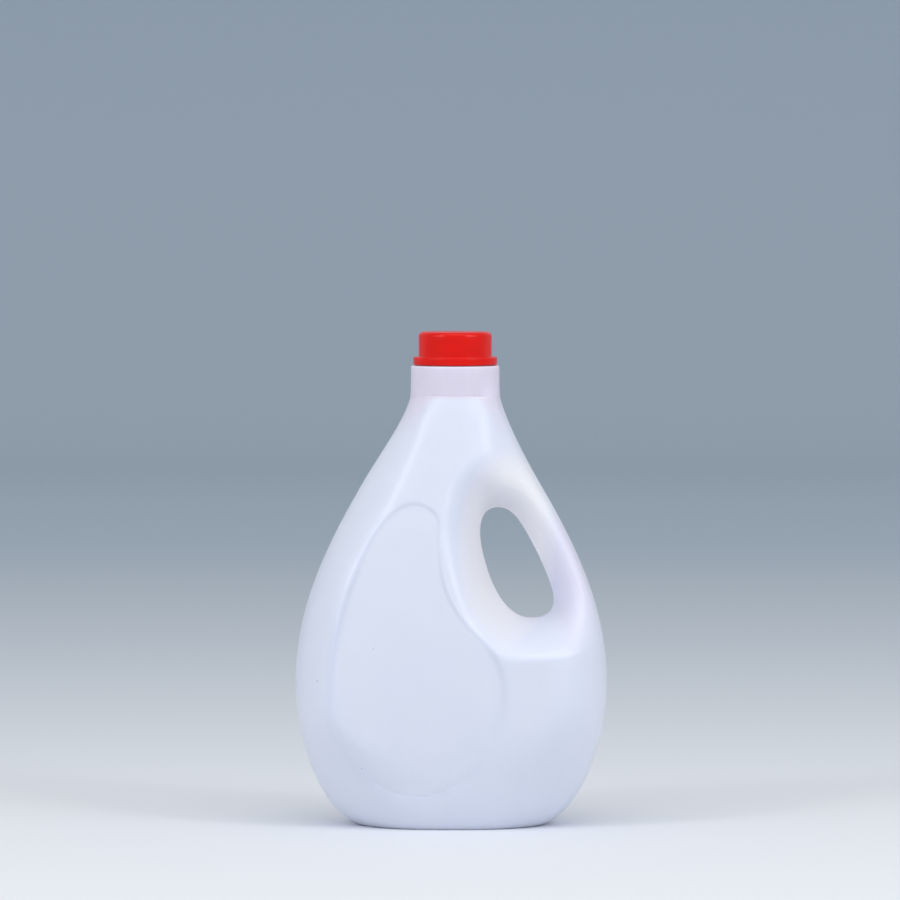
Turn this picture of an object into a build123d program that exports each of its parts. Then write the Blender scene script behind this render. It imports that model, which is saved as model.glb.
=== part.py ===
from build123d import *
import os
from math import cos, hypot, pi, sin, sqrt

# Two-litre blow-moulded jerrycan: a hollow bottle with a through handle, a screw cap and its sealing wad.
# Millimetres. The origin is the middle of the footprint, on the surface that the jerrycan stands on.
# +Z is up, +X runs across the wide faces towards the handle, and the mould parts along the plane Y = 0.

# Body: an oval with flattened faces, widest at the belly, drawn in to a round neck
BODY_WIDTH = 174.0
BODY_DEPTH = 102.0
BELLY_HEIGHT = 80.0
SHOULDER_HEIGHT = 240.0
BASE_WIDTH = 100.0
BASE_DEPTH = 70.0
WALL = 1.2
SIDE_FALL_SHARE = 1.37
FACE_FALL_SHARE = 1.0
BASE_ROUNDING_SHARE = 0.6
BASE_FLAT_SHARE = 0.25
FACE_FLAT_SHARE = 0.72
NECK_FLAT_SHARE = 0.53
CREASE_FLAT_SHARE = 0.2
CREASE_RUN = 12.0
FLAT_CHANGE_SHARES = (0.35, 0.8)
FACE_CROWN_SHARE = 0.03
BASE_BLEND_HEIGHT = 70.0
BASE_EDGE_BLEND = 20.0
FACE_EDGE_BLEND = 6.0

# Base: a flat foot ring around a shallow push-up
FOOT_WIDTH = 7.0
PUSH_UP = 4.0
PUSH_UP_RUN = 6.0

# Handle hole: a leaning oval, wider on the side of the grip, inside the wider oval of a dished scoop
HOLE_X = 35.8
HOLE_HEIGHT = 146.6
HOLE_LENGTH = 60.8
HOLE_HALF_WIDTH = 16.3
HOLE_REACH = 21.0
HOLE_LEAN_SHARE = 0.287
SCOOP_X = 35.5
SCOOP_HEIGHT = 150.5
SCOOP_LENGTH = 98.0
SCOOP_HALF_WIDTH = 31.0
SCOOP_REACH = 52.0
SCOOP_LEAN_SHARE = 0.16
OVAL_SQUARENESS_SHARE = 2.34
SCOOP_EDGE_SHARE = 0.4
SCOOP_LEAST_SHARE = 0.15
HOLE_OVERRUN = 12.0

# Grip: a hollow bar of even width along the outline, its crest nearer to the outside
GRIP_WIDTH = 20.3
GRIP_THICKNESS = 26.0
GRIP_CREST_SHARE = 0.36
GRIP_BLEND = 15.0

# Label panel: an egg sunk into each face, its points as shares of the half width and the shoulder height
PANEL_DEPTH = 0.9
PANEL_POINT_SHARES = (
    (-0.22, 0.757), (-0.45, 0.705), (-0.60, 0.600), (-0.706, 0.483), (-0.755, 0.333), (-0.68, 0.200),
    (-0.50, 0.113), (-0.23, 0.080), (0.0, 0.103), (0.214, 0.188), (0.325, 0.296), (0.29, 0.396),
    (0.10, 0.479), (-0.05, 0.583), (-0.068, 0.679), (-0.10, 0.735),
)

# Neck: a plain collar that carries the mouth, its axis a little off the middle towards the handle
NECK_DIAMETER = 49.4
NECK_HEIGHT = 17.0
NECK_OFFSET = 2.2
NECK_SHIFT_SHARE = 0.7
NECK_LEDGE = 0.3
NECK_EDGE_RADIUS = 1.0
MOUTH_BORE = 31.5
MOUTH_WALL = 1.85
MOUTH_HEIGHT = 16.0
MOUTH_EDGE_RADIUS = 0.6
BEAD_WIDTH = 3.4
BEAD_HEIGHT = 3.0
BEAD_EDGE_RADIUS = 0.8

# Screw cap: a smooth skirt over the mouth, stepped out to a flange over the neck's bead
CAP_LIFT = 0.4
CAP_WALL = 1.4
CAP_TOP = 1.5
CAP_EDGE_RADIUS = 1.7
THREAD_ROOM = 1.5
FLANGE_STEP = 3.0
FLANGE_HEIGHT = 4.5
FLANGE_EDGE_RADIUS = 0.5
BEAD_CLEARANCE = 1.1

# Sealing wad: a foam disc pressed between the mouth's rim and the cap's top
WAD_THICKNESS = 1.4
WAD_CLEARANCE = 0.3

# The bottle is one moulding. It is kept in lengths that meet below, across and above the handle's hole.
SPLIT_HEIGHTS = (99.0, 146.0, 196.0)

# Fineness of the lofted skins: points along a half section and steps of height, closer around the handle
SKIN_POINTS = 46
SKIN_STEPS = 26
LINING_POINTS = 38
LINING_STEPS = 26
LOW_STEPS_SHARE = 0.4
CROWDING_SHARE = 0.3
SPARSE_SHARE = 0.9
PROBE = 0.05
CUT_OVERRUN = 5.0

NECK_RADIUS = NECK_DIAMETER / 2
NECK_TOP = SHOULDER_HEIGHT + NECK_HEIGHT
RIM_HEIGHT = NECK_TOP + MOUTH_HEIGHT
MOUTH_RADIUS = MOUTH_BORE / 2 + MOUTH_WALL
BEAD_RADIUS = MOUTH_RADIUS + BEAD_WIDTH
CAP_INNER_RADIUS = MOUTH_RADIUS + THREAD_ROOM
CAP_RADIUS = CAP_INNER_RADIUS + CAP_WALL
CAP_HEIGHT = RIM_HEIGHT + WAD_THICKNESS + CAP_TOP


def smooth_min(a, b, blend):
    """The lower of two values, with the corner between them rounded over the blend."""
    if blend <= 0:
        return min(a, b)
    near = max(blend - abs(a - b), 0) / blend
    return min(a, b) - near * near * blend / 4


def smooth_max(a, b, blend):
    return -smooth_min(-a, -b, blend)


def eased(u):
    """A share from 0 to 1 that starts and ends gently."""
    u = min(max(u, 0), 1)
    return u * u * (3 - 2 * u)


def rise(z):
    """Share of the way up from the belly to the shoulder."""
    return min(max((z - BELLY_HEIGHT) / (SHOULDER_HEIGHT - BELLY_HEIGHT), 0), 1)


def swell(z, base, belly, fall):
    """Half size at a height, on an outline that rounds up from the base and falls in to the neck."""
    if z < BELLY_HEIGHT:
        below = 1 - z / BELLY_HEIGHT
        return base + (belly - base) * (1 - below ** 2) ** BASE_ROUNDING_SHARE
    top = NECK_RADIUS + NECK_LEDGE
    return top + (belly - top) * (1 - rise(z) ** 2) ** fall


def half_width(z):
    return swell(z, BASE_WIDTH / 2, BODY_WIDTH / 2, SIDE_FALL_SHARE)


def half_depth(z):
    return swell(z, BASE_DEPTH / 2, BODY_DEPTH / 2, FACE_FALL_SHARE)


def lean(size, z):
    """Rate at which a half size grows with height."""
    low, high = max(z - PROBE, 0), min(z + PROBE, SHOULDER_HEIGHT)
    return (size(high) - size(low)) / (high - low)


def middle(z):
    """Where the section's middle lies across the width: it leans over to the neck's axis."""
    return NECK_OFFSET * eased((rise(z) - NECK_SHIFT_SHARE) / (1 - NECK_SHIFT_SHARE))


def flat_share(z):
    """How much of the width the flattened face takes up: little at the oval base and at the round neck."""
    start, end = FLAT_CHANGE_SHARES
    high = FACE_FLAT_SHARE + (NECK_FLAT_SHARE - FACE_FLAT_SHARE) * eased((rise(z) - start) / (end - start))
    closing = max(1 - (SHOULDER_HEIGHT - z) / CREASE_RUN, 0)
    high += (CREASE_FLAT_SHARE - NECK_FLAT_SHARE) * closing ** 2
    return BASE_FLAT_SHARE + (high - BASE_FLAT_SHARE) * eased(z / BASE_BLEND_HEIGHT)


def edge_blend(z):
    """How widely the edge between the flattened face and the side is rounded."""
    blend = BASE_EDGE_BLEND + (FACE_EDGE_BLEND - BASE_EDGE_BLEND) * eased(z / BASE_BLEND_HEIGHT)
    return blend * flat_share(z)


def oval(across, up, left, right, half_length):
    """1 on a squarish oval, less inside it and more outside."""
    n = OVAL_SQUARENESS_SHARE
    return (abs(up / half_length) ** n + abs(across / (left if across < 0 else right)) ** n) ** (1 / n)


def scoop_share(x, z):
    """0 on the edge of the hole and 1 on the rim of the scoop around it."""
    up, up_rim = z - HOLE_HEIGHT, z - SCOOP_HEIGHT
    hole = oval(x - HOLE_X + HOLE_LEAN_SHARE * up, up, HOLE_HALF_WIDTH, HOLE_REACH, HOLE_LENGTH / 2)
    across = x - SCOOP_X + SCOOP_LEAN_SHARE * up_rim
    rim = oval(across, up_rim, SCOOP_HALF_WIDTH, SCOOP_REACH, SCOOP_LENGTH / 2)
    spread = (SCOOP_HALF_WIDTH / HOLE_HALF_WIDTH + SCOOP_LENGTH / HOLE_LENGTH) / 2
    return (hole - 1) / max(hole - 1 + spread * (1 - rim), SCOOP_LEAST_SHARE)


def scoop_slope(x, z):
    """Rate at which the scoop's share grows over the face."""
    grow_x = scoop_share(x + PROBE, z) - scoop_share(x - PROBE, z)
    grow_z = scoop_share(x, z + PROBE) - scoop_share(x, z - PROBE)
    return hypot(grow_x, grow_z) / (2 * PROBE)


def crowded(u):
    """A share from 0 to 1 whose steps close up around the handle."""
    turn = 2 * pi
    return u + CROWDING_SHARE / turn * (sin(turn * (u - SPARSE_SHARE)) + sin(turn * SPARSE_SHARE))


def half_section(z, inset, count):
    """Points of half a section of the body at a height, from the grip round to the far side.

    An inset moves the skin inwards, for the wall or a sunk panel. In the hole the depth goes negative."""
    side_lean, face_lean = hypot(1, lean(half_width, z)), hypot(1, lean(half_depth, z))
    wide = half_width(z) - inset * side_lean
    deep = half_depth(z) - inset * face_lean
    flat = flat_share(z)
    grip_wide, grip_deep = GRIP_WIDTH - 2 * inset, GRIP_THICKNESS / 2 - inset
    points = []
    for i in range(count + 1):
        angle = pi * crowded(i / count)
        across = cos(angle)
        x = middle(z) + wide * across
        face = deep * (1 - FACE_CROWN_SHARE * flat * across ** 2)
        side = deep * sin(angle) / sqrt(1 - flat ** 2)
        body = max(smooth_min(face, side, edge_blend(z)), 0)
        share = scoop_share(x, z)
        if body > inset > 0:
            share -= inset * (hypot(1, body * scoop_slope(x, z)) - 1) / body
        carved = smooth_max(body * smooth_min(share, 1, SCOOP_EDGE_SHARE), -HOLE_OVERRUN, HOLE_OVERRUN)
        along = wide * (1 - across) / side_lean / grip_wide - GRIP_CREST_SHARE
        s = along / (GRIP_CREST_SHARE if along < 0 else 1 - GRIP_CREST_SHARE)
        bar = grip_deep * (sqrt(max(1 - s * s, 0)) if s < 0 else 1 - s * s)
        grip = smooth_max(bar, -HOLE_OVERRUN, HOLE_OVERRUN)
        y = smooth_max(carved, grip, min(GRIP_BLEND, body))
        points.append(Vector(x, 0 if i in (0, count) else y, z))
    return points


def body_half(inset, count, steps):
    """Half of the body up to its shoulder, closed behind the parting plane, its skin moved in by an inset."""
    low_steps = round(LOW_STEPS_SHARE * steps)
    climb = SHOULDER_HEIGHT - inset - BELLY_HEIGHT
    heights = [inset + (BELLY_HEIGHT - inset) * (i / low_steps) ** 2 for i in range(low_steps)]
    heights += [BELLY_HEIGHT + climb * crowded(i / steps) for i in range(steps + 1)]
    sections = []
    for z in heights:
        points = half_section(z, inset, count)
        right, left = points[0], points[-1]
        back_right = Vector(right.X, -2 * HOLE_OVERRUN, z)
        back_left = Vector(left.X, -2 * HOLE_OVERRUN, z)
        sections.append(Wire([
            Edge.make_spline(points, parameters=[i / count for i in range(count + 1)]),
            Edge.make_line(left, back_left),
            Edge.make_line(back_left, back_right),
            Edge.make_line(back_right, right),
        ]))
    return Solid.make_loft(sections)


def panel_half(inset, wall):
    """What lies between the skin and the panel's floor, inside the egg grown by a wall."""
    points = [Vector(x * BODY_WIDTH / 2, 0, z * SHOULDER_HEIGHT) for x, z in PANEL_POINT_SHARES]
    heart = sum(points, Vector(0, 0, 0)) / len(points)
    egg = Edge.make_spline([p + (p - heart).normalized() * wall for p in points], periodic=True)
    column = Solid.extrude(Face(Wire([egg])), Vector(0, BODY_DEPTH, 0))
    return column - body_half(inset, LINING_POINTS, LINING_STEPS)


def push_up(wall):
    """The hollow under the base, or with a wall the same form a wall higher and wider, for the inside."""
    def outline(z):
        inward = FOOT_WIDTH - wall + PUSH_UP_RUN * (z - wall) / PUSH_UP
        return Pos(0, 0, z) * Ellipse(BASE_WIDTH / 2 - inward, BASE_DEPTH / 2 - inward)
    return loft([outline(-CUT_OVERRUN), outline(PUSH_UP + wall)], ruled=True)


def turned(outline):
    """A ring or cup turned about the neck's axis from its half section, given as radius and height."""
    section = Face(Wire.make_polygon([(NECK_OFFSET + r, 0, z) for r, z in outline]))
    return revolve(section, Axis((NECK_OFFSET, 0, 0), (0, 0, 1)))


def circle_at(part, z, radius):
    """The round edge nearest to a height and radius."""
    edges = part.edges().filter_by(GeomType.CIRCLE)
    return min(edges, key=lambda e: hypot(e.center(CenterOf.GEOMETRY).Z - z, e.radius - radius))


def make_neck():
    """The collar and the mouth as a solid form, before they are bored."""
    bead_top = NECK_TOP + BEAD_HEIGHT
    neck = turned([
        (0, SHOULDER_HEIGHT), (NECK_RADIUS, SHOULDER_HEIGHT), (NECK_RADIUS, NECK_TOP),
        (BEAD_RADIUS, NECK_TOP), (BEAD_RADIUS, bead_top), (MOUTH_RADIUS, bead_top),
        (MOUTH_RADIUS, RIM_HEIGHT), (0, RIM_HEIGHT),
    ])
    neck = fillet(circle_at(neck, NECK_TOP, NECK_RADIUS), NECK_EDGE_RADIUS)
    neck = fillet(circle_at(neck, bead_top, BEAD_RADIUS), BEAD_EDGE_RADIUS)
    return fillet(circle_at(neck, RIM_HEIGHT, MOUTH_RADIUS), MOUTH_EDGE_RADIUS)


def neck_bore():
    bottom, top = SHOULDER_HEIGHT - WALL - CUT_OVERRUN, RIM_HEIGHT + CUT_OVERRUN
    collar_top = NECK_TOP - WALL
    return turned([
        (0, bottom), (NECK_RADIUS - WALL, bottom), (NECK_RADIUS - WALL, collar_top),
        (MOUTH_BORE / 2, collar_top), (MOUTH_BORE / 2, top), (0, top),
    ])


def make_bottle():
    skin = body_half(0, SKIN_POINTS, SKIN_STEPS) - panel_half(PANEL_DEPTH, 0) - push_up(0)
    lining = body_half(WALL, LINING_POINTS, LINING_STEPS)
    hollow = lining - panel_half(WALL + PANEL_DEPTH, WALL) - push_up(WALL)
    one_side = Pos(0, BODY_DEPTH, 0) * Box(2 * BODY_WIDTH, 2 * BODY_DEPTH, 2 * NECK_TOP)
    half = (skin - hollow) & one_side
    return half + mirror(half, about=Plane.XZ) + make_neck() - neck_bore()


def make_lengths():
    """The bottle in its lengths, from the base up."""
    rest, lengths = make_bottle(), []
    for height in SPLIT_HEIGHTS:
        below = Pos(0, 0, height - NECK_TOP) * Box(2 * BODY_WIDTH, 2 * BODY_DEPTH, 2 * NECK_TOP)
        lengths.append(rest & below)
        rest = rest - below
    return lengths + [rest]


def make_cap():
    bottom = NECK_TOP + CAP_LIFT
    flange_top, flange_radius = bottom + FLANGE_HEIGHT, CAP_RADIUS + FLANGE_STEP
    flange_inner, ceiling = BEAD_RADIUS + BEAD_CLEARANCE, CAP_HEIGHT - CAP_TOP
    cap = turned([
        (flange_inner, bottom), (flange_radius, bottom), (flange_radius, flange_top),
        (CAP_RADIUS, flange_top), (CAP_RADIUS, CAP_HEIGHT), (0, CAP_HEIGHT),
        (0, ceiling), (CAP_INNER_RADIUS, ceiling), (CAP_INNER_RADIUS, flange_top - CAP_WALL),
        (flange_inner, flange_top - CAP_WALL),
    ])
    cap = fillet(circle_at(cap, CAP_HEIGHT, CAP_RADIUS), CAP_EDGE_RADIUS)
    return fillet([circle_at(cap, z, flange_radius) for z in (bottom, flange_top)], FLANGE_EDGE_RADIUS)


def make_wad():
    radius, top = CAP_INNER_RADIUS - WAD_CLEARANCE, RIM_HEIGHT + WAD_THICKNESS
    return turned([(0, RIM_HEIGHT), (radius, RIM_HEIGHT), (radius, top), (0, top)])


os.makedirs("parts", exist_ok=True)
lower, middle_length, upper, neck = make_lengths()
pieces = {
    "bottle_lower": lower, "bottle_middle": middle_length, "bottle_upper": upper, "bottle_neck": neck,
    "screw_cap": make_cap(), "cap_liner": make_wad(),
}
for name, piece in pieces.items():
    export_step(piece, f"parts/{name}.step")
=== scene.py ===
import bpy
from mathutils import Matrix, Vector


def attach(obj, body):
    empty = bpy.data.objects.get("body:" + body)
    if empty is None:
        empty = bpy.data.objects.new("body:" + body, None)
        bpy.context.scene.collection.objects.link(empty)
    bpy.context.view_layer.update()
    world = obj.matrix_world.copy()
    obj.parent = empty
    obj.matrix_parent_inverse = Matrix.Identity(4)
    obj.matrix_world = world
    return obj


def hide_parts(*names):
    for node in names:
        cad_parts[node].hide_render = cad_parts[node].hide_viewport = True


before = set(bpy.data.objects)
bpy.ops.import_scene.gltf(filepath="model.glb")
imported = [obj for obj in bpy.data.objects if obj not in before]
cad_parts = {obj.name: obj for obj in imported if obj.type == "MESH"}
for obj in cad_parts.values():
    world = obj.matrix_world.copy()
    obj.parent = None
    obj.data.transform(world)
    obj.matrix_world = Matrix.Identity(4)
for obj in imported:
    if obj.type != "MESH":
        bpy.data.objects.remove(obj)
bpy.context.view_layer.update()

from math import cos, pi, radians, sin

import bmesh
import bpy
import numpy as np

# Bottle: one hollow skin of natural polyethylene, blown from a hot tube between two mould halves
# that part along Y = 0. The handle is pinched through in the same shot, and the neck is left open.
# Its lengths, like the wad's and the cap's, are in millimetres until the mesh is made.
MM = 0.001
WALL = 1.2
BELLY_HEIGHT, SHOULDER_HEIGHT = 80.0, 240.0
BASE_HALF, BELLY_HALF = (50.0, 35.0), (87.0, 51.0)
SIDE_FALL, FACE_FALL, BASE_ROUNDING = 1.42, 1.0, 0.6
NECK_X, NECK_RADIUS, NECK_LEDGE, NECK_SHIFT = 2.2, 24.7, 0.3, 0.7
FACE_FLAT, NECK_FLAT, FLAT_START, FLAT_END = 0.76, 0.53, 0.35, 0.8
CREASE_FLAT, CREASE_RUN = 0.2, 12.0
BASE_FLAT, BASE_FLAT_RISE = 0.25, 70.0
FACE_CROWN, FACE_EDGE_BLEND, BASE_EDGE_BLEND = 0.03, 6.0, 20.0
# On the handle's side the face's edge is softer low down, and softer and farther in under the neck
SOFT_EDGE_BLEND, SOFT_EDGE_SIDE, SOFT_EDGE_TOP, SOFT_EDGE_RUN = 18.0, 0.4, 110.0, 50.0
NECK_SIDE_START, NECK_SIDE_RUN, NECK_SIDE_SOFT, NECK_SIDE_NARROW = 186.0, 22.0, 0.45, 0.17
PROBE, LEAST_BLEND, AT_PARTING = 0.05, 1e-9, 1e-6


def smooth_min(a, b, blend):
    """The lower of two values, with the corner between them rounded over the blend."""
    blend = np.maximum(blend, LEAST_BLEND)
    near = np.maximum(blend - np.abs(a - b), 0) / blend
    return np.minimum(a, b) - near ** 2 * blend / 4


def smooth_max(a, b, blend):
    """The higher of two values, rounded in the same way."""
    return -smooth_min(-a, -b, blend)


def eased(u):
    """A share from 0 to 1 that starts and ends level."""
    u = np.clip(u, 0, 1)
    return u * u * (3 - 2 * u)


def rise(z):
    """Share of the way up from the belly to the shoulder."""
    return np.clip((z - BELLY_HEIGHT) / (SHOULDER_HEIGHT - BELLY_HEIGHT), 0, 1)


def swell(z, base, belly, fall):
    """Half size at a height: rounded up from the base, then falling in to the neck."""
    below = np.clip(1 - z / BELLY_HEIGHT, 0, 1)
    low = base + (belly - base) * (1 - below ** 2) ** BASE_ROUNDING
    top = NECK_RADIUS + NECK_LEDGE
    return np.where(z < BELLY_HEIGHT, low, top + (belly - top) * (1 - rise(z) ** 2) ** fall)


def half_width(z):
    return swell(z, BASE_HALF[0], BELLY_HALF[0], SIDE_FALL)


def half_depth(z):
    return swell(z, BASE_HALF[1], BELLY_HALF[1], FACE_FALL)


def middle(z):
    """How far the body's middle has moved over to stand under the neck."""
    return NECK_X * eased((rise(z) - NECK_SHIFT) / (1 - NECK_SHIFT))


def slant(size, z):
    """Length of skin for each millimetre of height."""
    low, high = np.maximum(z - PROBE, 0), np.minimum(z + PROBE, SHOULDER_HEIGHT)
    return np.hypot(1, (size(high) - size(low)) / (high - low))


def flat_share(z):
    """How much of the width the flat face takes up: little at the oval base and at the round neck."""
    up_face = eased((rise(z) - FLAT_START) / (FLAT_END - FLAT_START))
    closing = np.maximum(1 - (SHOULDER_HEIGHT - z) / CREASE_RUN, 0)
    high = FACE_FLAT + (NECK_FLAT - FACE_FLAT) * up_face + (CREASE_FLAT - NECK_FLAT) * closing ** 2
    return BASE_FLAT + (high - BASE_FLAT) * eased(z / BASE_FLAT_RISE)


def oval_face(z, deep, angle):
    """Half depth of an oval with flattened faces, round its half turn."""
    handle_side = eased(np.cos(angle) / SOFT_EDGE_SIDE)
    low_side = handle_side * (1 - eased((z - SOFT_EDGE_TOP) / SOFT_EDGE_RUN))
    high_side = handle_side * eased((z - NECK_SIDE_START) / NECK_SIDE_RUN)
    below_neck = (SHOULDER_HEIGHT - z) / (SHOULDER_HEIGHT - NECK_SIDE_START - NECK_SIDE_RUN)
    flat = flat_share(z) - NECK_SIDE_NARROW * high_side * np.clip(below_neck, 0, 1)
    soft = low_side + NECK_SIDE_SOFT * high_side
    edge = FACE_EDGE_BLEND + (SOFT_EDGE_BLEND - FACE_EDGE_BLEND) * soft
    blend = BASE_EDGE_BLEND + (edge - BASE_EDGE_BLEND) * eased(z / BASE_FLAT_RISE)
    face = deep * (1 - FACE_CROWN * flat * np.cos(angle) ** 2)
    side = deep * np.sin(angle) / np.sqrt(1 - flat ** 2)
    return np.maximum(smooth_min(face, side, np.minimum(blend * flat, deep)), 0)


# The handle's hole is a leaning oval inside the wider oval of a dished scoop. The scoop's rim is
# softest at the top left.
HOLE = {"x": 35.8, "z": 146.6, "left": 16.3, "right": 21.0, "half_length": 30.4, "lean": 0.287}
SCOOP = {"x": 35.5, "z": 150.5, "left": 31.0, "right": 52.0, "half_length": 49.0, "lean": 0.16}
OVAL_SQUARENESS, SCOOP_LEAST, HOLE_OVERRUN = 2.34, 0.15, 12.0
SCOOP_EDGE, SCOOP_SOFT_EDGE, SOFT_TOWARDS = 0.46, 0.66, (-0.015, 0.02)
GRIP_WIDTH, GRIP_HALF_DEPTH, GRIP_CREST, GRIP_BLEND = 20.3, 13.0, 0.36, 15.0


def leaning_oval(x, z, shape):
    """1 on the oval, less inside it and more outside."""
    up = z - shape["z"]
    across = x - shape["x"] + shape["lean"] * up
    side = np.where(across < 0, shape["left"], shape["right"])
    n = OVAL_SQUARENESS
    return (np.abs(up / shape["half_length"]) ** n + np.abs(across / side) ** n) ** (1 / n)


def scoop_share(x, z):
    """0 on the edge of the hole and 1 on the rim of the scoop."""
    past_hole = leaning_oval(x, z, HOLE) - 1
    spread = (SCOOP["left"] / HOLE["left"] + SCOOP["half_length"] / HOLE["half_length"]) / 2
    to_rim = spread * (1 - leaning_oval(x, z, SCOOP))
    return past_hole / np.maximum(past_hole + to_rim, SCOOP_LEAST)


def scoop_slope(x, z):
    """How fast that share grows with each millimetre."""
    grow_x = scoop_share(x + PROBE, z) - scoop_share(x - PROBE, z)
    grow_z = scoop_share(x, z + PROBE) - scoop_share(x, z - PROBE)
    return np.hypot(grow_x, grow_z) / (2 * PROBE)


def skin(angle, z, inset):
    """Points of the blown body on the +Y side. In the hole the depth goes below 0."""
    side_slant, face_slant = slant(half_width, z), slant(half_depth, z)
    wide, deep = half_width(z) - inset * side_slant, half_depth(z) - inset * face_slant
    x = middle(z) + wide * np.cos(angle)
    body = oval_face(z, deep, angle)
    share = scoop_share(x, z)
    if inset:
        thick = np.maximum(body, inset)
        share = share - inset * (np.hypot(1, thick * scoop_slope(x, z)) - 1) / thick
    towards = (x - SCOOP["x"]) * SOFT_TOWARDS[0] + (z - SCOOP["z"]) * SOFT_TOWARDS[1]
    rim = SCOOP_EDGE + (SCOOP_SOFT_EDGE - SCOOP_EDGE) * eased(towards)
    carved = smooth_max(body * smooth_min(share, 1, rim), -HOLE_OVERRUN, HOLE_OVERRUN)
    along = wide * (1 - np.cos(angle)) / side_slant / (GRIP_WIDTH - 2 * inset) - GRIP_CREST
    s = along / np.where(along < 0, GRIP_CREST, 1 - GRIP_CREST)
    swept = np.where(s < 0, np.sqrt(np.maximum(1 - s * s, 0)), 1 - s * s)
    grip = smooth_max((GRIP_HALF_DEPTH - inset) * swept, -HOLE_OVERRUN, HOLE_OVERRUN)
    y = smooth_max(carved, grip, np.minimum(GRIP_BLEND, body))
    return x, np.where(np.sin(angle) < AT_PARTING, 0, y)


# The label panel is an egg sunk into each face, clear of the skin near the parting plane. Its step is
# crisp at the left and the top, and runs out softly low down on both sides.
PANEL_DEPTH, PANEL_RUN_OUT, FACE_FROM = 0.9, 30.0, 5.0
PANEL_POINTS = np.array([
    (-19.1, 181.7), (-39.2, 169.2), (-52.2, 144.0), (-61.4, 115.9), (-65.7, 79.9), (-59.2, 48.0),
    (-43.5, 27.1), (-20.0, 19.2), (0.0, 24.7), (18.6, 45.1), (28.3, 71.0), (25.2, 95.0),
    (8.7, 115.0), (-4.4, 139.9), (-5.9, 163.0), (-8.7, 176.4),
])
PANEL_HEART = PANEL_POINTS.mean(axis=0)
# Each row is a direction from the panel's heart in degrees, the step's width there, its share of the
# full depth, and how dark its wall is painted, as painted shade in the step's recess
PANEL_STEPS = np.array([
    (-180, 4.2, 1.0, 0.75), (-155, 4.2, 0.9, 0.55), (-135, 7.0, 0.45, 0.0), (-118, 5.0, 0.5, 0.2),
    (-105, 2.2, 0.9, 0.6), (-85, 1.6, 1.0, 1.0), (-70, 2.4, 0.8, 0.6), (-52, 8.0, 0.4, 0.0),
    (-35, 5.5, 0.8, 0.3), (-18, 4.5, 1.0, 0.45), (5, 4.0, 1.0, 0.4), (30, 2.6, 1.0, 0.1),
    (55, 2.2, 1.0, 0.0), (80, 2.8, 1.0, 0.1), (110, 3.2, 1.0, 0.45), (150, 4.2, 1.0, 0.75),
    (180, 4.2, 1.0, 0.75),
])


def closed_curve(points, count):
    """A smooth closed line through the points."""
    chord = np.linalg.norm(np.roll(points, -1, axis=0) - points, axis=1)
    n = len(points)
    system, pull = np.zeros((n, n)), np.zeros_like(points)
    for i in range(n):
        before, after, ahead = chord[i - 1], chord[i], (i + 1) % n
        system[i, i - 1] += before
        system[i, i] += 2 * (before + after)
        system[i, ahead] += after
        pull[i] = 6 * ((points[ahead] - points[i]) / after - (points[i] - points[i - 1]) / before)
    bend = np.linalg.solve(system, pull)
    starts = np.concatenate([[0], np.cumsum(chord)])
    at = np.linspace(0, starts[-1], count, endpoint=False)
    i = np.minimum(np.searchsorted(starts, at, side="right") - 1, n - 1)
    h, j = chord[i][:, None], (i + 1) % n
    b = (at - starts[i])[:, None] / h
    a = 1 - b
    bow = (a ** 3 - a) * bend[i] + (b ** 3 - b) * bend[j]
    return a * points[i] + b * points[j] + bow * h ** 2 / 6


PANEL_LINE = closed_curve(PANEL_POINTS, count=480)


def past_panel(x, z):
    """Distance from the panel's outline, below 0 inside it."""
    place = np.stack([x, z], axis=1)
    best, inside = np.full(len(place), np.inf), np.zeros(len(place), bool)
    for p, q in zip(PANEL_LINE, np.roll(PANEL_LINE, -1, axis=0)):
        run = q - p
        t = np.clip(((place - p) @ run) / (run @ run), 0, 1)
        best = np.minimum(best, np.hypot(*(place - p - t[:, None] * run).T))
        crosses = (p[1] > place[:, 1]) != (q[1] > place[:, 1])
        if p[1] != q[1]:
            inside ^= crosses & (place[:, 0] < p[0] + (place[:, 1] - p[1]) * run[0] / run[1])
    return np.where(inside, -best, best)


def panel_step(x, z):
    """Distance past the panel's outline, with the step's width, share of depth and painted shade there.
    """
    turn = np.degrees(np.arctan2(z - PANEL_HEART[1], x - PANEL_HEART[0]))
    directions, *columns = PANEL_STEPS.T
    return past_panel(x, z), *(np.interp(turn, directions, column) for column in columns)


def sunk_face(x, y, z):
    """Depth of the skin once the panel is sunk into the face."""
    past, width, edge, _ = panel_step(x, z)
    run_out = eased(-past / PANEL_RUN_OUT)
    sunk = PANEL_DEPTH * eased(0.5 - past / width) * (edge + (1 - edge) * run_out)
    return np.where(y > FACE_FROM, y - sunk, y)


def rounded(corners, arc_steps=5):
    """An outline of radii and heights whose corners are rounded where they give a radius."""
    line = []
    for i, (r, z, *blend) in enumerate(corners):
        here = np.array([r, z], float)
        if not blend:
            line.append(here)
            continue
        before = np.array(corners[i - 1][:2], float) - here
        after = np.array(corners[i + 1][:2], float) - here
        before, after = before / np.linalg.norm(before), after / np.linalg.norm(after)
        half = np.arccos(np.clip(before @ after, -1, 1)) / 2
        reach = blend[0] / np.tan(half)
        heart = here + (before + after) / np.linalg.norm(before + after) * blend[0] / np.sin(half)
        start, end = here + before * reach - heart, here + after * reach - heart
        sweep = pi - 2 * half
        for t in np.linspace(0, 1, arc_steps + 1):
            spoke = start * np.sin((1 - t) * sweep) + end * np.sin(t * sweep)
            line.append(heart + spoke / np.sin(sweep))
    return line


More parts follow.
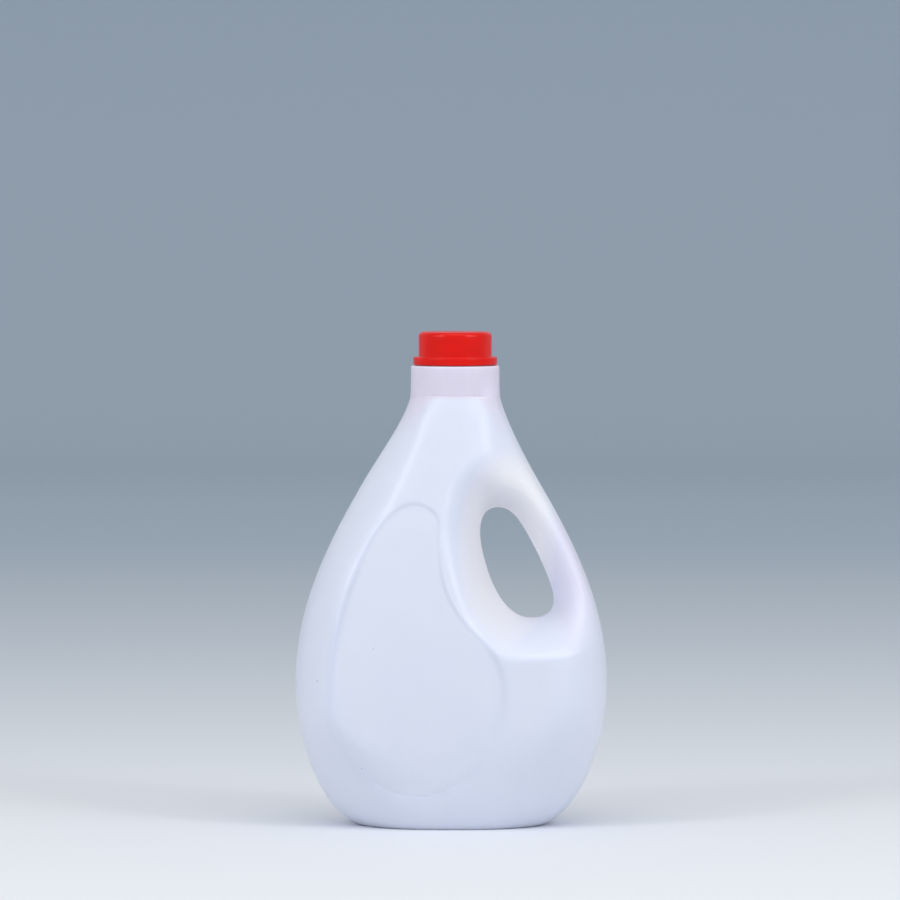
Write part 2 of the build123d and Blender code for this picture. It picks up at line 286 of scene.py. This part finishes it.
# The neck's collar, the bead under the cap, the threaded mouth and the bore, from the shoulder up and
# in. Under the collar's front the skin steps in at a crease, which fades out at the sides.
NECK_TOP, NECK_EDGE, COLLAR_ROWS = 257.0, 1.0, (240.2, 240.5, 241.0, 242.0, 246.0, 252.5)
CREASE_HEIGHT, CREASE_FADE, CREASE_SIDE, CREASE_SIDE_RUN = 0.5, 12.0, 0.45, 0.4
BEAD_RADIUS, BEAD_TOP, BEAD_FILLET, BEAD_EDGE = 21.0, 260.0, 0.3, 0.8
MOUTH_RADIUS, MOUTH_FILLET, MOUTH_START, MOUTH_END = 17.6, 0.4, 260.7, 272.3
THREAD_WALL, THREAD_ROWS = (261.0, 272.2), 33
RIM_HEIGHT, RIM_EDGE = 273.0, 0.6
BORE_RADIUS, BORE_EDGE, BORE_ROWS = 15.75, 0.5, (268.0, 262.0)
LINING_RADIUS, LINING_TOP, LINING_FILLET = NECK_RADIUS - WALL, NECK_TOP - WALL, 0.6
LINING_ROWS = (252.0, 246.0, 241.0)
neck_outline = rounded([
    *((NECK_RADIUS, z) for z in COLLAR_ROWS), (NECK_RADIUS, NECK_TOP, NECK_EDGE),
    (BEAD_RADIUS, NECK_TOP, BEAD_FILLET), (BEAD_RADIUS, BEAD_TOP, BEAD_EDGE),
    (MOUTH_RADIUS, BEAD_TOP, MOUTH_FILLET), (MOUTH_RADIUS, MOUTH_START),
])
neck_outline += [np.array([MOUTH_RADIUS, z]) for z in np.linspace(*THREAD_WALL, THREAD_ROWS)]
neck_outline += rounded([
    (MOUTH_RADIUS, MOUTH_END), (MOUTH_RADIUS, RIM_HEIGHT, RIM_EDGE),
    (BORE_RADIUS, RIM_HEIGHT, BORE_EDGE), *((BORE_RADIUS, z) for z in BORE_ROWS),
    (BORE_RADIUS, LINING_TOP, BORE_EDGE), (LINING_RADIUS, LINING_TOP, LINING_FILLET),
    *((LINING_RADIUS, z) for z in LINING_ROWS),
])

# The base has a flat foot ring, a push-up inside it and a pinch seam along its middle, where the mould
# nipped off the tube
FOOT_WIDTH, PUSH_UP, PUSH_UP_RUN, SEAM_DROP, SEAM_REACH = 7.0, 4.0, 6.0, 0.5, 34.6


def floor_height(inward, wall):
    """Height of the base at a distance in from its edge."""
    return wall + PUSH_UP * eased((inward - FOOT_WIDTH + wall) / PUSH_UP_RUN)


# One half of the skin is a net of columns round the half turn and rows from the middle of the base, up
# the outside, over the rim and down the inside to the base again. The columns crowd over the scoop.
COLUMNS, CROWDING, CROWDING_TURN = 112, 0.3, 0.9
PARTING_COLUMNS = (0.0013, 0.0030)
OUTER_BASE_ROWS = (35.0, 34.5, 33.9, 32, 27, 21, 16, 13, 11.5, 10, 8.5, 7, 5, 3, 1.5, 0.6)
OUTER_LOW_ROWS, OUTER_HIGH_ROWS, OUTER_HIGH_STOP = 36, 97, 1.6
CREASE_ROWS = (1.0, 0.6, 0.3, 0.0)
INNER_HIGH_ROWS, INNER_LOW_ROWS = 44, 18
INNER_BASE_ROWS = (1.5, 4, 6, 7.5, 9, 11, 14, 20, 27, 40)
turn_shares = np.concatenate([
    [0], PARTING_COLUMNS, np.linspace(0, 1, COLUMNS + 1)[1:-1], 1 - np.array(PARTING_COLUMNS[::-1]), [1],
])
wave = np.sin(2 * pi * (turn_shares - CROWDING_TURN)) + np.sin(2 * pi * CROWDING_TURN)
column_angles = pi * (turn_shares + CROWDING / (2 * pi) * wave)
outer_heights = np.concatenate([
    BELLY_HEIGHT * (np.arange(OUTER_LOW_ROWS) / OUTER_LOW_ROWS) ** 2,
    np.linspace(BELLY_HEIGHT, SHOULDER_HEIGHT - OUTER_HIGH_STOP, OUTER_HIGH_ROWS),
    SHOULDER_HEIGHT - np.array(CREASE_ROWS),
])
inner_falls = (1 - np.arange(1, INNER_LOW_ROWS + 1) / INNER_LOW_ROWS) ** 2
inner_heights = np.concatenate([
    np.linspace(SHOULDER_HEIGHT - WALL, BELLY_HEIGHT, INNER_HIGH_ROWS),
    WALL + (BELLY_HEIGHT - WALL) * inner_falls,
])
rows = [("base", inward, 0) for inward in OUTER_BASE_ROWS]
first_outer = len(rows)
rows += [("skin", z, 0) for z in outer_heights]
rows += [("ring", r, z) for r, z in neck_outline]
rows += [("skin", z, WALL) for z in inner_heights]
rows += [("base", inward, WALL) for inward in INNER_BASE_ROWS]

# Rows off the outer face keep their whole number, so the net can be split finer on the face
net_rows, net_columns = len(rows), len(column_angles)
across, up = np.meshgrid(np.arange(net_columns), np.arange(net_rows))
corners = np.stack([across.ravel(), up.ravel(), np.zeros(across.size)], axis=1)
number = np.arange(across.size).reshape(across.shape)
quad_corners = [number[:-1, :-1], number[:-1, 1:], number[1:, 1:], number[1:, :-1]]
quads = np.stack(quad_corners, axis=-1).reshape(-1, 4)
net = bpy.data.meshes.new("bottle_net")
net.from_pydata(corners.tolist(), [], quads.tolist())
shell = bmesh.new()
shell.from_mesh(net)
bpy.data.meshes.remove(net)


def net_places():
    """Column angle, row and outer height of each corner of the net, and whether it is on the face."""
    at = np.array([v.co[:2] for v in shell.verts])
    angle = np.interp(at[:, 0], np.arange(net_columns), column_angles)
    height = np.interp(at[:, 1], first_outer + np.arange(len(outer_heights)), outer_heights)
    on_face = (at[:, 1] >= first_outer) & (at[:, 1] <= first_outer + len(outer_heights) - 1)
    return angle, at[:, 1], height, on_face


# The net is split finer along the panel's step and the edge of the handle's hole
SPLITS, STEP_REACH, HOLE_DEPTH, HOLE_REACH = 3, 3.2, 6.0, 0.35
angle, row, height, on_face = net_places()
x, y = skin(angle, height, 0)
off_hole = np.abs(leaning_oval(x, height, HOLE) - 1)
near_step = on_face & (np.abs(past_panel(x, height)) < STEP_REACH) & (y > FACE_FROM)
near_hole = on_face & (np.abs(y) < HOLE_DEPTH) & (off_hole < HOLE_REACH)
step_edges = [e for e in shell.edges if all(near_step[v.index] for v in e.verts)]
hole_edges = [e for e in shell.edges if all(near_hole[v.index] for v in e.verts)]
bmesh.ops.subdivide_edges(shell, edges=step_edges, cuts=SPLITS, use_grid_fill=True)
hole_edges = [e for e in hole_edges if e.is_valid]
bmesh.ops.subdivide_edges(shell, edges=hole_edges, cuts=SPLITS, use_grid_fill=True)

# Each corner of the net goes to its place on the bottle. A fine ridge stands along the parting line.
PARTING_RIDGE, RIDGE_RUN = 0.16, 6.0
angle, row, height, on_face = net_places()
x, y = skin(angle, height, 0)
y[on_face] = sunk_face(x[on_face], y[on_face], height[on_face])
ridge = PARTING_RIDGE * eased(height / RIDGE_RUN) * eased((SHOULDER_HEIGHT - height) / RIDGE_RUN)
x += np.where(angle < AT_PARTING, ridge, 0) - np.where(angle > pi - AT_PARTING, ridge, 0)
z = height.copy()
top_x, top_y = skin(angle, np.full(len(x), SHOULDER_HEIGHT), 0)
around = np.arctan2(top_y, top_x - NECK_X)
ledge = np.hypot(top_x - NECK_X, top_y) - NECK_RADIUS
no_crease = eased((np.abs(np.cos(around)) - CREASE_SIDE) / CREASE_SIDE_RUN)
for i, (kind, first, second) in enumerate(rows):
    here = (row == i) & (~on_face | (kind != "skin"))
    a = angle[here]
    if kind == "base":
        wide = half_width(second) - second * slant(half_width, second)
        deep = half_depth(second) - second * slant(half_depth, second)
        inward = min(first, deep)
        x[here] = (wide - inward) * np.cos(a)
        y[here] = oval_face(second, deep - inward, a) if inward < deep else 0
        z[here] = floor_height(inward, second)
        if not second and inward > SEAM_REACH:
            z[here] -= SEAM_DROP
    elif kind == "skin" and second:
        level = np.full(len(a), first)
        inner_x, inner_y = skin(a, level, second)
        x[here], y[here], z[here] = inner_x, sunk_face(inner_x, inner_y, level), first
    elif kind == "ring":
        radius = first
        if first == NECK_RADIUS:
            past_shoulder = second - SHOULDER_HEIGHT
            crease = max(1 - past_shoulder / CREASE_HEIGHT, 0) ** 2
            long_fade = max(1 - past_shoulder / CREASE_FADE, 0) ** 2
            radius = first + ledge[here] * (crease + no_crease[here] * (long_fade - crease))
        x[here], y[here] = NECK_X + radius * np.cos(around[here]), radius * np.sin(around[here])
        z[here] = second
for v, place in zip(shell.verts, np.stack([x, y, z], axis=1) * MM):
    v.co = place

# The half is cut at the parting plane, which opens the hole, and the other half is its mirror image
PLANE_GAP, MIRROR_GAP, WELD_GAP, LEAST_EDGE = 2e-6, 4e-6, 2e-5, 1e-5
everything = shell.verts[:] + shell.edges[:] + shell.faces[:]
bmesh.ops.bisect_plane(
    shell, geom=everything, dist=PLANE_GAP, plane_co=(0, 0, 0), plane_no=(0, 1, 0), clear_inner=True,
)
everything = shell.verts[:] + shell.edges[:] + shell.faces[:]
bmesh.ops.mirror(shell, geom=everything, axis="Y", merge_dist=MIRROR_GAP)
bmesh.ops.remove_doubles(shell, verts=shell.verts[:], dist=WELD_GAP)
bmesh.ops.dissolve_degenerate(shell, edges=shell.edges[:], dist=LEAST_EDGE)
bmesh.ops.recalc_face_normals(shell, faces=shell.faces[:])

# The two halves weld with a rounded edge round the handle's hole
EDGE_ROUND, EDGE_OVALS, EDGE_RIGHT, LEAST_STEEP = 2.4, (0.6, 1.4), 60.0, 0.8


def face_depth(x, z):
    """Depth of the skin at a place on the face."""
    return skin(np.arccos(np.clip((x - middle(z)) / half_width(z), -1, 1)), z, 0)[1]


place = np.array([v.co for v in shell.verts]) / MM
oval = leaning_oval(place[:, 0], place[:, 2], HOLE)
by_hole = (oval > EDGE_OVALS[0]) & (oval < EDGE_OVALS[1]) & (place[:, 0] < EDGE_RIGHT)
at_edge = by_hole & (np.abs(place[:, 1]) < EDGE_ROUND)
x, y, z = place[at_edge].T
grow_x = face_depth(x + PROBE, z) - face_depth(x - PROBE, z)
grow_z = face_depth(x, z + PROBE) - face_depth(x, z - PROBE)
grow = np.stack([grow_x, grow_z], axis=1) / (2 * PROBE)
steep = np.maximum(np.linalg.norm(grow, axis=1), LEAST_STEEP)
back_off = EDGE_ROUND / (2 * steep) * (1 - np.abs(y) / EDGE_ROUND) ** 2
place[np.ix_(at_edge, [0, 2])] += grow / steep[:, None] * back_off[:, None]

# The thread winds one and three quarter turns up the mouth, right-handed
PITCH, THREAD_HEIGHT, THREAD_FOOT, THREAD_TURNS = 4.2, 1.15, 263.3, 1.75
THREAD_HALF, THREAD_FLANK, THREAD_RUN_IN, ON_WALL = 1.2, 0.75, 0.07, 0.1


def threaded(place, radius, span, foot, outward):
    """Places with a helical ridge on a round wall over a span of heights, outward (1) or inward (-1)."""
    from_axis, z = place[:, :2] - (NECK_X, 0), place[:, 2]
    reach = np.hypot(*from_axis.T)
    on_wall = (np.abs(reach - radius) < ON_WALL) & (z > span[0] - ON_WALL) & (z < span[1] + ON_WALL)
    turn = np.arctan2(from_axis[:, 1], from_axis[:, 0]) / (2 * pi)
    whole_turns = np.round((z - foot) / PITCH - turn)
    turn = turn + np.clip(whole_turns, np.ceil(-turn), np.floor(THREAD_TURNS - turn))
    crest = np.clip((THREAD_HALF - np.abs(z - foot - PITCH * turn)) / THREAD_FLANK, 0, 1)
    ends = np.clip(np.minimum(turn, THREAD_TURNS - turn) / THREAD_RUN_IN, 0, 1)
    stand_out = outward * THREAD_HEIGHT * eased(crest) * ends * on_wall
    moved = place.copy()
    moved[:, :2] += from_axis * (stand_out / np.where(on_wall, reach, 1))[:, None]
    return moved


place = threaded(place, MOUTH_RADIUS, THREAD_WALL, THREAD_FOOT, outward=1)
for v, p in zip(shell.verts, place * MM):
    v.co = p

# The skin is smooth to the eye, but for edges sharper than this
SHARP_DEGREES = 42


def smooth_mesh(name, body):
    """A body's mesh, shaded smooth but for its sharp edges."""
    mesh = bpy.data.meshes.new(name)
    body.to_mesh(mesh)
    body.free()
    mesh.polygons.foreach_set("use_smooth", np.ones(len(mesh.polygons), bool))
    mesh.set_sharp_from_angle(angle=radians(SHARP_DEGREES))
    return mesh


def stand(data):
    """Puts a mesh, a lamp or a camera in the scene under its own name."""
    thing = bpy.data.objects.new(data.name, data)
    bpy.context.scene.collection.objects.link(thing)
    return thing


# A mask on the mesh marks the panel's step wall for painted shade, darkest a little outside its middle
STEP_SHADE_SHIFT, STEP_SHADE_SPREAD = 0.15, 0.5
bottle_mesh = smooth_mesh("bottle_shell", shell)
past, width, _, step_shading = panel_step(place[:, 0], place[:, 2])
step_shading = step_shading * (np.abs(place[:, 1]) > FACE_FROM)
painted_step_shade = np.exp(-((past - STEP_SHADE_SHIFT * width) / (STEP_SHADE_SPREAD * width)) ** 2) * step_shading
bottle_mesh.attributes.new("painted_step_shade", "FLOAT", "POINT").data.foreach_set("value", painted_step_shade)
bottle = stand(bottle_mesh)


def fill(tree, node, values):
    """Gives sockets of a node their values, or links from other sockets."""
    for key, value in values.items():
        if isinstance(value, bpy.types.NodeSocket):
            tree.links.new(value, node.inputs[key])
        else:
            node.inputs[key].default_value = value


def add(tree, kind, values=None, **settings):
    """A node with its settings and its sockets filled."""
    node = tree.nodes.new(kind)
    for key, value in settings.items():
        setattr(node, key, value)
    fill(tree, node, values or {})
    return node


def shader(name, colour):
    """A material of a plain colour, with its principled shader, node tree and places."""
    material = bpy.data.materials.new(name)
    material.use_nodes = True
    tree = material.node_tree
    surface = tree.nodes["Principled BSDF"]
    surface.inputs["Base Color"].default_value = colour
    return material, surface, tree, add(tree, "ShaderNodeTexCoord").outputs["Object"]


def maths(tree, operation, *values):
    """The result of an operation on numbers."""
    return add(tree, "ShaderNodeMath", dict(enumerate(values)), operation=operation).outputs["Value"]


def vectors(tree, operation, *values):
    """The outputs of an operation on vectors."""
    return add(tree, "ShaderNodeVectorMath", dict(enumerate(values)), operation=operation).outputs


def grain(tree, source, scale, stretch=(1, 1, 1), detail=2.0):
    """A noise over the piece, its scale in features to the metre, stretched along the axes."""
    mapping = add(tree, "ShaderNodeMapping", {"Vector": source, "Scale": stretch})
    sockets = {"Vector": mapping.outputs["Vector"], "Scale": scale, "Detail": detail}
    return add(tree, "ShaderNodeTexNoise", sockets).outputs["Fac"]


def ramp(tree, value, span, levels):
    """Maps a value over a span to the levels at the span's two ends."""
    sockets = {"Value": value, "From Min": span[0], "From Max": span[1]}
    sockets |= {"To Min": levels[0], "To Max": levels[1]}
    return add(tree, "ShaderNodeMapRange", sockets).outputs["Result"]


# Sockets of the mix of two colours, by number
MIX_SHARE, MIX_FIRST, MIX_SECOND, MIX_RESULT = 0, 6, 7, 2


def mixed(tree, share, first, second):
    """A mix of two colours by a share."""
    sockets = {MIX_SHARE: share, MIX_FIRST: first, MIX_SECOND: second}
    return add(tree, "ShaderNodeMix", sockets, data_type="RGBA").outputs[MIX_RESULT]


# Natural polyethylene is milky and lets some light in. The blown wall varies in thickness, which shows
# as faint clouds, and the die leaves fine streaks down the tube. The mould's sandblasting gives a
# satin skin.
MILK, THIN_MILK = (0.738, 0.779, 0.963, 1), (0.713, 0.760, 0.948, 1)
material, plastic, tree, source = shader("natural_polyethylene", MILK)
clouds = grain(tree, source, scale=22.0)
streaks = grain(tree, source, scale=260.0, stretch=(1, 1, 0.03))
skin_grain = grain(tree, source, scale=1900.0)
cloud_share = ramp(tree, clouds, span=(0.35, 0.75), levels=(0.0, 0.75))
streak_share = ramp(tree, streaks, span=(0.45, 0.75), levels=(0.0, 0.25))
colour = mixed(tree, maths(tree, "ADD", cloud_share, streak_share), MILK, THIN_MILK)

# The neck's wall stays thick and dull, and less so the grip's; on the neck the tone is also painted
# shade and a painted pink reflection of the red cap. In the scoop the wall is stretched thin and whiter,
# and painted light lifts its shade. The neck's tone ends at the crease in front, and fades into the
# shoulder at the sides as painted shade.
# Places in the shader are in metres.
NECK_TONE, SCOOP_THIN_WALL_AND_PAINTED_LIGHT = (0.735, 0.635, 0.765, 1), (0.96, 0.93, 0.99, 1)
STEP_SHADE_TONE = (0.61, 0.65, 0.79, 1)
NECK_SIDES, NECK_FADE_FEET, NECK_FADE_TOP, NECK_DULL_AND_SHADE = (0.0125, 0.0235), (0.2384, 0.2190), 0.2402, 0.7
SCOOP_OVAL = {"heart": (0.031, 0.157), "halves": (0.029, 0.057), "fade": (0.62, 0.98), "most": 1.0}
GRIP_OVAL = {"heart": (0.070, 0.150), "halves": (0.016, 0.055), "fade": (0.4, 1.1), "most": 0.4}


def oval_mask(heart, halves, fade, most):
    """A share that falls off round an upright oval in the wide plane, through the whole depth."""
    from_heart = vectors(tree, "SUBTRACT", source, (heart[0], 0, heart[1]))["Vector"]
    in_halves = vectors(tree, "MULTIPLY", from_heart, (1 / halves[0], 0, 1 / halves[1]))["Vector"]
    return ramp(tree, vectors(tree, "LENGTH", in_halves)["Value"], fade, (most, 0.0))


# The neck's tint is partly the thick wall's dull tone, partly painted shade and a painted pink
# reflection of the red cap
axes = add(tree, "ShaderNodeSeparateXYZ", {"Vector": source}).outputs
to_side = maths(tree, "ABSOLUTE", maths(tree, "SUBTRACT", axes["X"], NECK_X * MM))
fade_foot = ramp(tree, to_side, NECK_SIDES, NECK_FADE_FEET)
neck_dull_and_shade_share = ramp(tree, axes["Z"], (fade_foot, NECK_FADE_TOP), (0.0, NECK_DULL_AND_SHADE))
# The darker step wall is painted shade in the panel's recess
step_shade_share = add(tree, "ShaderNodeAttribute", attribute_name="painted_step_shade").outputs["Fac"]
# The scoop's tint is painted light that lifts the shade in the scoop, on top of the thin wall's whiter
# tone
tints = (
    (neck_dull_and_shade_share, NECK_TONE), (oval_mask(**GRIP_OVAL), NECK_TONE),
    (oval_mask(**SCOOP_OVAL), SCOOP_THIN_WALL_AND_PAINTED_LIGHT), (step_shade_share, STEP_SHADE_TONE),
)
for share, tone in tints:
    colour = mixed(tree, share, colour, tone)

# Three small specks of burnt resin are caught in the skin of the front face
SPECK, SPECK_SHARE, SPECK_CORE = (0.16, 0.15, 0.15, 1), 0.4, 0.5
SPECKS = (((-0.0430, 0.1018), 0.0005), ((-0.0742, 0.0834), 0.0006), ((-0.0495, 0.0350), 0.0005))
flat_place = add(tree, "ShaderNodeCombineXYZ", {"X": axes["X"], "Y": axes["Z"]}).outputs["Vector"]
in_front = maths(tree, "LESS_THAN", axes["Y"], 0)
for spot, size in SPECKS:
    away = vectors(tree, "DISTANCE", flat_place, (*spot, 0))["Value"]
    dark = ramp(tree, away, (SPECK_CORE * size, size), (SPECK_SHARE, 0.0))
    colour = mixed(tree, maths(tree, "MULTIPLY", dark, in_front), colour, SPECK)
satin = add(tree, "ShaderNodeBump", {"Height": skin_grain, "Strength": 0.35, "Distance": 0.00006})
waves = add(tree, "ShaderNodeBump", {
    "Height": clouds, "Strength": 0.5, "Distance": 0.00025, "Normal": satin.outputs["Normal"],
})
fill(tree, plastic, {
    "Base Color": colour, "IOR": 1.53, "Normal": waves.outputs["Normal"],
    "Roughness": ramp(tree, clouds, span=(0.3, 0.7), levels=(0.32, 0.42)),
    "Subsurface Weight": 0.7, "Subsurface Radius": (1.0, 1.0, 1.0), "Subsurface Scale": 0.003,
})
bottle_mesh.materials.append(material)
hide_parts("bottle_lower", "bottle_middle", "bottle_upper", "bottle_neck")
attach(bottle, "bottle_body")

# Sealing wad: a disc die-cut from a sheet of foam, loose in the cap. The mouth's rim presses a ring
# into its underside.
WAD_RADIUS, WAD_TOP, WAD_EDGE, WAD_SEGMENTS = 18.8, 274.4, 0.25, 120
MARK_RADII, MARK_TOP = (15.2, 15.6, 17.2, 17.7), RIM_HEIGHT + 0.12
FOAM, FOAM_PORE, FOAM_WEB = (0.80, 0.80, 0.77, 1), (0.66, 0.66, 0.63, 1), (0.84, 0.84, 0.81, 1)


def turned_piece(name, outline, segments):
    """A piece turned about the neck's axis, from radii and heights that run from axis to axis."""
    body = bmesh.new()
    rings = []
    for r, z in outline:
        steps = np.linspace(0, 2 * pi, segments, endpoint=False) if r else [0]
        places = [(NECK_X + r * cos(a), r * sin(a), z) for a in steps]
        rings.append([body.verts.new([MM * length for length in place]) for place in places])
    for low, high in zip(rings, rings[1:]):
        for i in range(segments):
            j = (i + 1) % segments
            ring = [low[i % len(low)], low[j % len(low)], high[j % len(high)], high[i % len(high)]]
            body.faces.new(list(dict.fromkeys(ring)))
    bmesh.ops.recalc_face_normals(body, faces=body.faces[:])
    return stand(smooth_mesh(name, body))


wad = turned_piece("sealing_wad", rounded([
    (0, RIM_HEIGHT), (MARK_RADII[0], RIM_HEIGHT), (MARK_RADII[1], MARK_TOP), (MARK_RADII[2], MARK_TOP),
    (MARK_RADII[3], RIM_HEIGHT), (WAD_RADIUS, RIM_HEIGHT, WAD_EDGE), (WAD_RADIUS, WAD_TOP, WAD_EDGE),
    (0, WAD_TOP),
]), WAD_SEGMENTS)
material, plastic, tree, source = shader("wad_foam", FOAM)
cells = add(tree, "ShaderNodeTexVoronoi", {"Vector": source, "Scale": 2600.0}).outputs["Distance"]
pores = add(tree, "ShaderNodeBump", {"Height": cells, "Strength": 0.6, "Distance": 0.0001})
cell_share = ramp(tree, cells, span=(0.0, 0.6), levels=(0.0, 1.0))
fill(tree, plastic, {
    "Base Color": mixed(tree, cell_share, FOAM_PORE, FOAM_WEB), "Roughness": 0.75,
    "Normal": pores.outputs["Normal"],
})
wad.data.materials.append(material)
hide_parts("cap_liner")
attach(wad, "liner_body")

# Screw cap: one red moulding with a smooth skirt, a wider flange over the neck's bead and a thread
# inside. The gate through which the mould was filled leaves a small pit in the middle of the top.
CAP_FOOT, CAP_TOP, CAP_RADIUS, CAP_EDGE, SKIRT_ROWS = 257.4, 275.9, 20.5, 2.6, (270.0, 265.0)
GATE_RADIUS, GATE_EDGE, GATE_FLOOR = 0.9, 1.3, CAP_TOP - 0.25
DISH_RADIUS, DISH_EDGE, DISH_FLOOR = 6.0, 14.0, CAP_TOP - 0.02
FLANGE_RADIUS, FLANGE_TOP, FLANGE_FILLET, FLANGE_EDGE, FOOT_EDGE = 23.5, 261.9, 0.35, 0.9, 0.5
FLANGE_INNER, FLANGE_CEILING, INNER_FOOT_EDGE, CEILING_FILLET = 22.1, 260.5, 0.2, 0.4
CAP_INNER, INNER_EDGE, INNER_START, INNER_END, TOP_FILLET, TOP_ROW = 19.1, 0.15, 260.8, 271.2, 0.5, 8.0
CAP_THREAD_WALL, CAP_THREAD_ROWS, CAP_THREAD_LAG = (261.0, 270.6), 30, 0.45
CAP_SEGMENTS, CAP_ARC_STEPS = 200, 6
RED, DEEP_RED = (0.72, 0.006, 0.002, 1), (0.63, 0.005, 0.002, 1)
cap_outline = rounded([
    (0, GATE_FLOOR), (GATE_RADIUS, GATE_FLOOR), (GATE_EDGE, DISH_FLOOR), (DISH_RADIUS, DISH_FLOOR),
    (DISH_EDGE, CAP_TOP), (CAP_RADIUS, CAP_TOP, CAP_EDGE), *((CAP_RADIUS, z) for z in SKIRT_ROWS),
    (CAP_RADIUS, FLANGE_TOP, FLANGE_FILLET), (FLANGE_RADIUS, FLANGE_TOP, FLANGE_EDGE),
    (FLANGE_RADIUS, CAP_FOOT, FOOT_EDGE), (FLANGE_INNER, CAP_FOOT, INNER_FOOT_EDGE),
    (FLANGE_INNER, FLANGE_CEILING, CEILING_FILLET), (CAP_INNER, FLANGE_CEILING, INNER_EDGE),
    (CAP_INNER, INNER_START),
], CAP_ARC_STEPS)
cap_outline += [np.array([CAP_INNER, z]) for z in np.linspace(*CAP_THREAD_WALL, CAP_THREAD_ROWS)]
cap_outline += rounded([
    (CAP_INNER, INNER_END), (CAP_INNER, WAD_TOP, TOP_FILLET), (TOP_ROW, WAD_TOP), (0, WAD_TOP),
])
cap = turned_piece("screw_cap_shell", cap_outline, CAP_SEGMENTS)
place = np.array([v.co for v in cap.data.vertices]) / MM
cap_thread_foot = THREAD_FOOT - CAP_THREAD_LAG * PITCH
place = threaded(place, CAP_INNER, CAP_THREAD_WALL, cap_thread_foot, outward=-1)
cap.data.vertices.foreach_set("co", (place * MM).ravel())
cap.data.update()
material, plastic, tree, source = shader("red_moulded_plastic", RED)
flow = grain(tree, source, scale=60.0, stretch=(1, 1, 2.5), detail=3.0)
fine = grain(tree, source, scale=2400.0)
flow_share = ramp(tree, flow, span=(0.4, 0.7), levels=(0.0, 0.6))
texture = add(tree, "ShaderNodeBump", {"Height": fine, "Strength": 0.3, "Distance": 0.00005})
fill(tree, plastic, {
    "Base Color": mixed(tree, flow_share, RED, DEEP_RED), "Normal": texture.outputs["Normal"],
    "Roughness": ramp(tree, flow, span=(0.3, 0.7), levels=(0.16, 0.22)),
    "IOR": 1.5, "Specular IOR Level": 0.22,
    "Subsurface Weight": 0.08, "Subsurface Radius": (1.0, 0.3, 0.2), "Subsurface Scale": 0.0015,
})
cap.data.materials.append(material)
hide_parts("screw_cap")
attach(cap, "cap_body")

# Floor: a pale sheet of paper that curves up far behind the bottle, as in a studio, and turns from
# near white to grey-blue towards the back.
FLOOR_HALF, FLOOR_ROWS, SWEEP_RADIUS, SWEEP_STEPS, WALL_TOP = 5.0, (-5.0, -1.0, 0.0, 4.0), 0.8, 12, 1.2
PAPER, SHADED_PAPER, SHADE_SPAN = (0.77, 0.79, 0.82, 1), (0.48, 0.56, 0.64, 1), (0.1, 2.6)
floor_back = FLOOR_ROWS[-1]
sheet_line = [(y, 0) for y in FLOOR_ROWS]
for step in range(1, SWEEP_STEPS + 1):
    a = step / SWEEP_STEPS * pi / 2
    sheet_line.append((floor_back + SWEEP_RADIUS * sin(a), SWEEP_RADIUS * (1 - cos(a))))
sheet_line.append((floor_back + SWEEP_RADIUS, WALL_TOP))
floor_mesh = bpy.data.meshes.new("studio_floor")
floor_mesh.from_pydata(
    [(side, y, z) for y, z in sheet_line for side in (-FLOOR_HALF, FLOOR_HALF)], [],
    [(2 * i, 2 * i + 1, 2 * i + 3, 2 * i + 2) for i in range(len(sheet_line) - 1)],
)
floor_mesh.polygons.foreach_set("use_smooth", np.ones(len(floor_mesh.polygons), bool))
floor = stand(floor_mesh)
material, paper, tree, source = shader("pale_paper", PAPER)
depth = add(tree, "ShaderNodeSeparateXYZ", {"Vector": source}).outputs["Y"]
shade = ramp(tree, depth, SHADE_SPAN, levels=(0.0, 1.0))
fill(tree, paper, {"Base Color": mixed(tree, shade, PAPER, SHADED_PAPER), "Roughness": 0.9})
floor_mesh.materials.append(material)


# Studio light: a broad soft box above, one at each side, a narrow tall lamp over each of those for the
# highlights on the cap's edge, and an even surround.
def aim(thing, place, target):
    """Puts a lamp or a camera at a place and turns it to a target."""
    thing.location = place
    thing.rotation_mode = "QUATERNION"
    thing.rotation_quaternion = Vector(np.subtract(target, place)).to_track_quat("-Z", "Y")


def soft_box(name, place, target, size, watts):
    """A rectangular lamp."""
    lamp = bpy.data.lights.new(name, "AREA")
    lamp.shape, lamp.size, lamp.size_y, lamp.energy = "RECTANGLE", *size, watts
    aim(stand(lamp), place, target)


soft_box("left_box", place=(-1.6, -1.15, 1.0), target=(0, 0, 0.14), size=(1.2, 0.8), watts=6.2)
soft_box("top_box", place=(0.0, -0.7, 1.7), target=(0, -0.15, 0), size=(1.8, 1.2), watts=8.0)
soft_box("right_box", place=(1.6, -1.15, 1.0), target=(0, 0, 0.14), size=(1.2, 0.8), watts=8.0)
soft_box("left_key", place=(-1.3, -1.17, 1.35), target=(0, 0, 0.18), size=(0.25, 0.8), watts=4.2)
soft_box("right_key", place=(1.3, -1.17, 1.35), target=(0, 0, 0.18), size=(0.25, 0.8), watts=4.2)
surround = bpy.data.worlds.new("studio_surround")
surround.use_nodes = True
tree = surround.node_tree
fill(tree, tree.nodes["Background"], {"Color": (0.91, 0.95, 1.0, 1), "Strength": 0.62})
bpy.context.scene.world = surround
bpy.context.scene.view_settings.view_transform = "Standard"

# Camera: a long lens a little higher than the cap, aimed so that the bottle stands low in the frame.
lens = bpy.data.cameras.new("studio_camera")
lens.lens, lens.sensor_width, lens.clip_end = 250.6, 36.0, 30.0
camera = stand(lens)
aim(camera, place=(0, -3.5, 0.37), target=(-0.0007, 0, 0.2096))
bpy.context.scene.camera = camera
